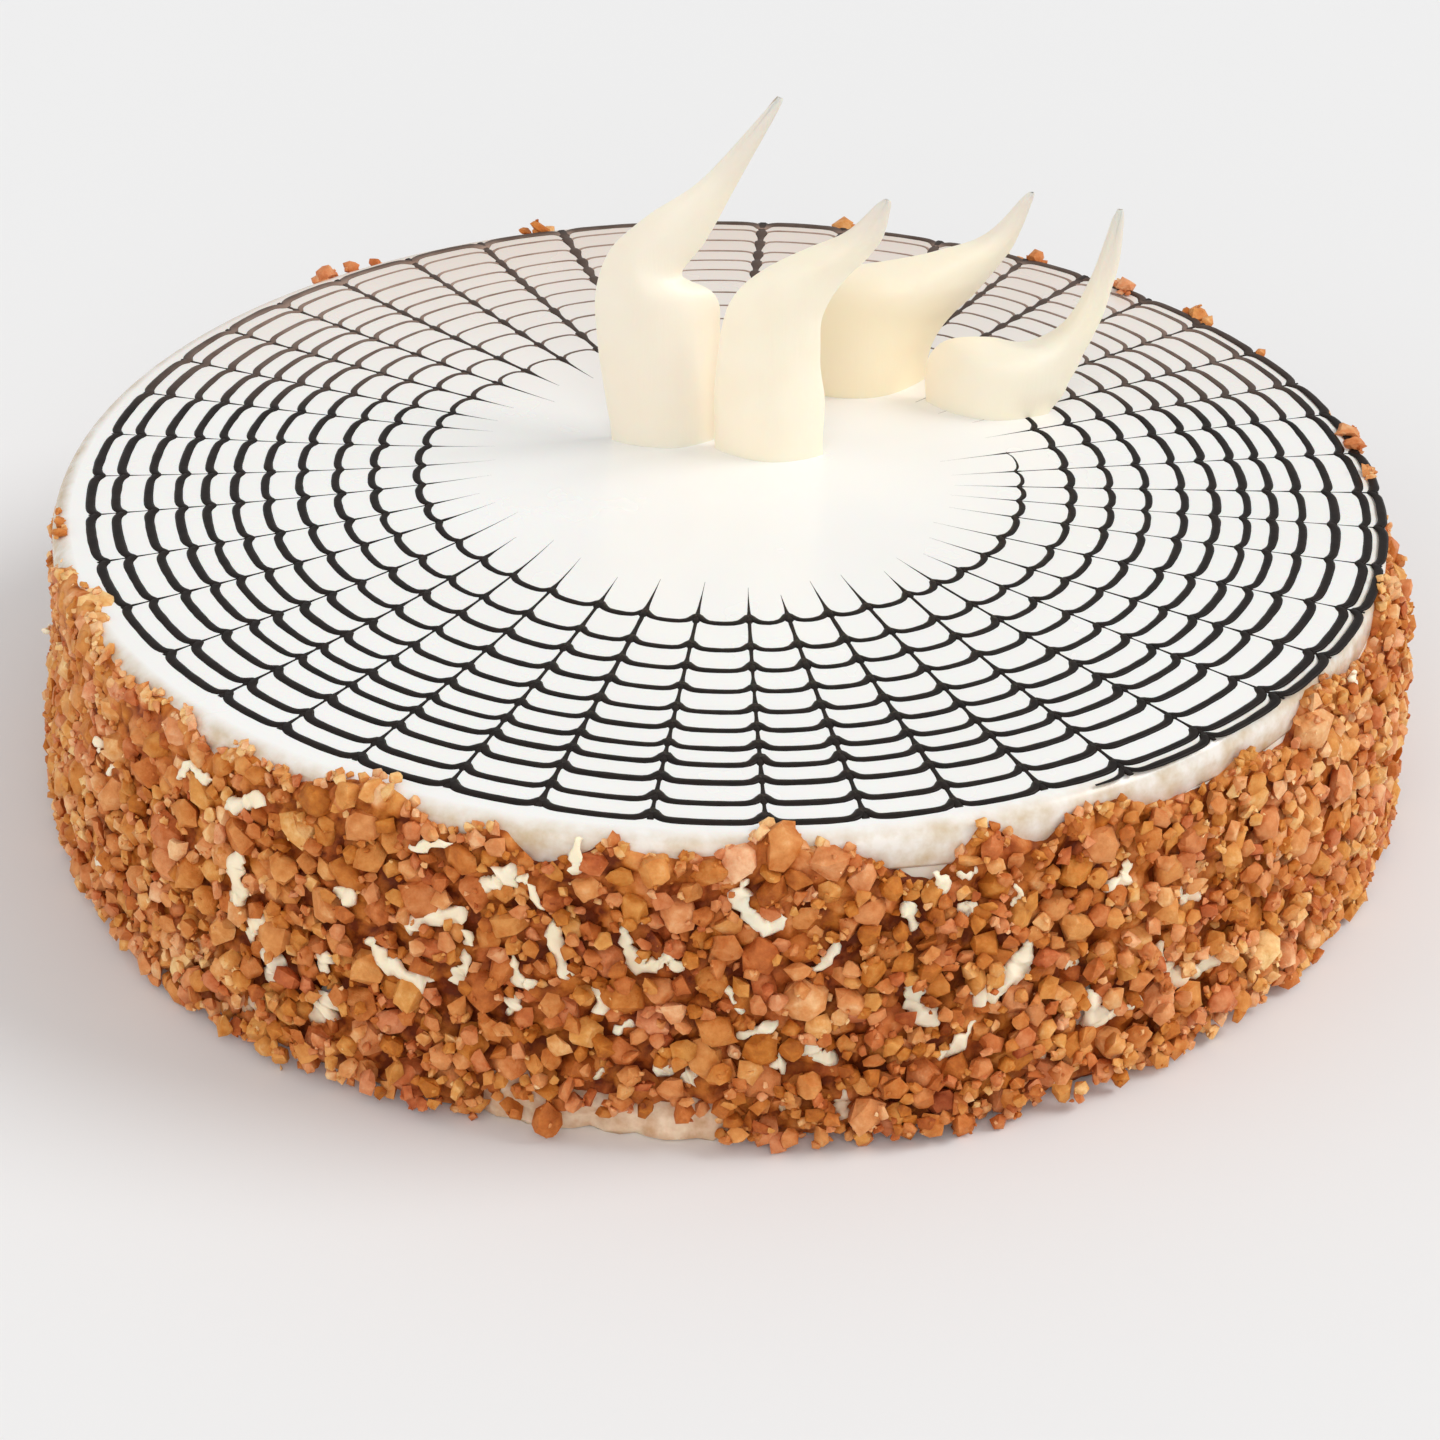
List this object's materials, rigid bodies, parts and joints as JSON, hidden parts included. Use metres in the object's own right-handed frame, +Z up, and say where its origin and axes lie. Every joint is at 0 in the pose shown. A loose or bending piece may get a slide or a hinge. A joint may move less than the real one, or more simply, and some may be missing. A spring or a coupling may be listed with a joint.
{
  "type": "butterscotch cake",
  "caption": "Round uncut gateau with butterscotch crunch pressed round its side, a white glazed top drawn with a dark chocolate web, and curled white chocolate blades.",
  "frame": {"origin": "centre of the flat underside", "axes": "+Z up through the middle of the glazed top, -Y towards the front, +X to the right with the blades leaning that way"},
  "size_m": [0.2239, 0.2238, 0.108],
  "materials": {
    "cream": "soft white whipped cream, satin",
    "glaze": "smooth white glaze, slightly glossy",
    "dark_chocolate": "piped dark chocolate line, satin",
    "crunch": "broken caramel crunch, dull with small bright facets",
    "white_chocolate": "ivory white chocolate, satin"
  },
  "bodies": {
    "root": {"cream_drum": "cream", "crunch_coat": "crunch", "blade_tall": "white_chocolate", "blade_front": "white_chocolate", "blade_back": "white_chocolate", "blade_right": "white_chocolate"}
  },
  "joints": []
}
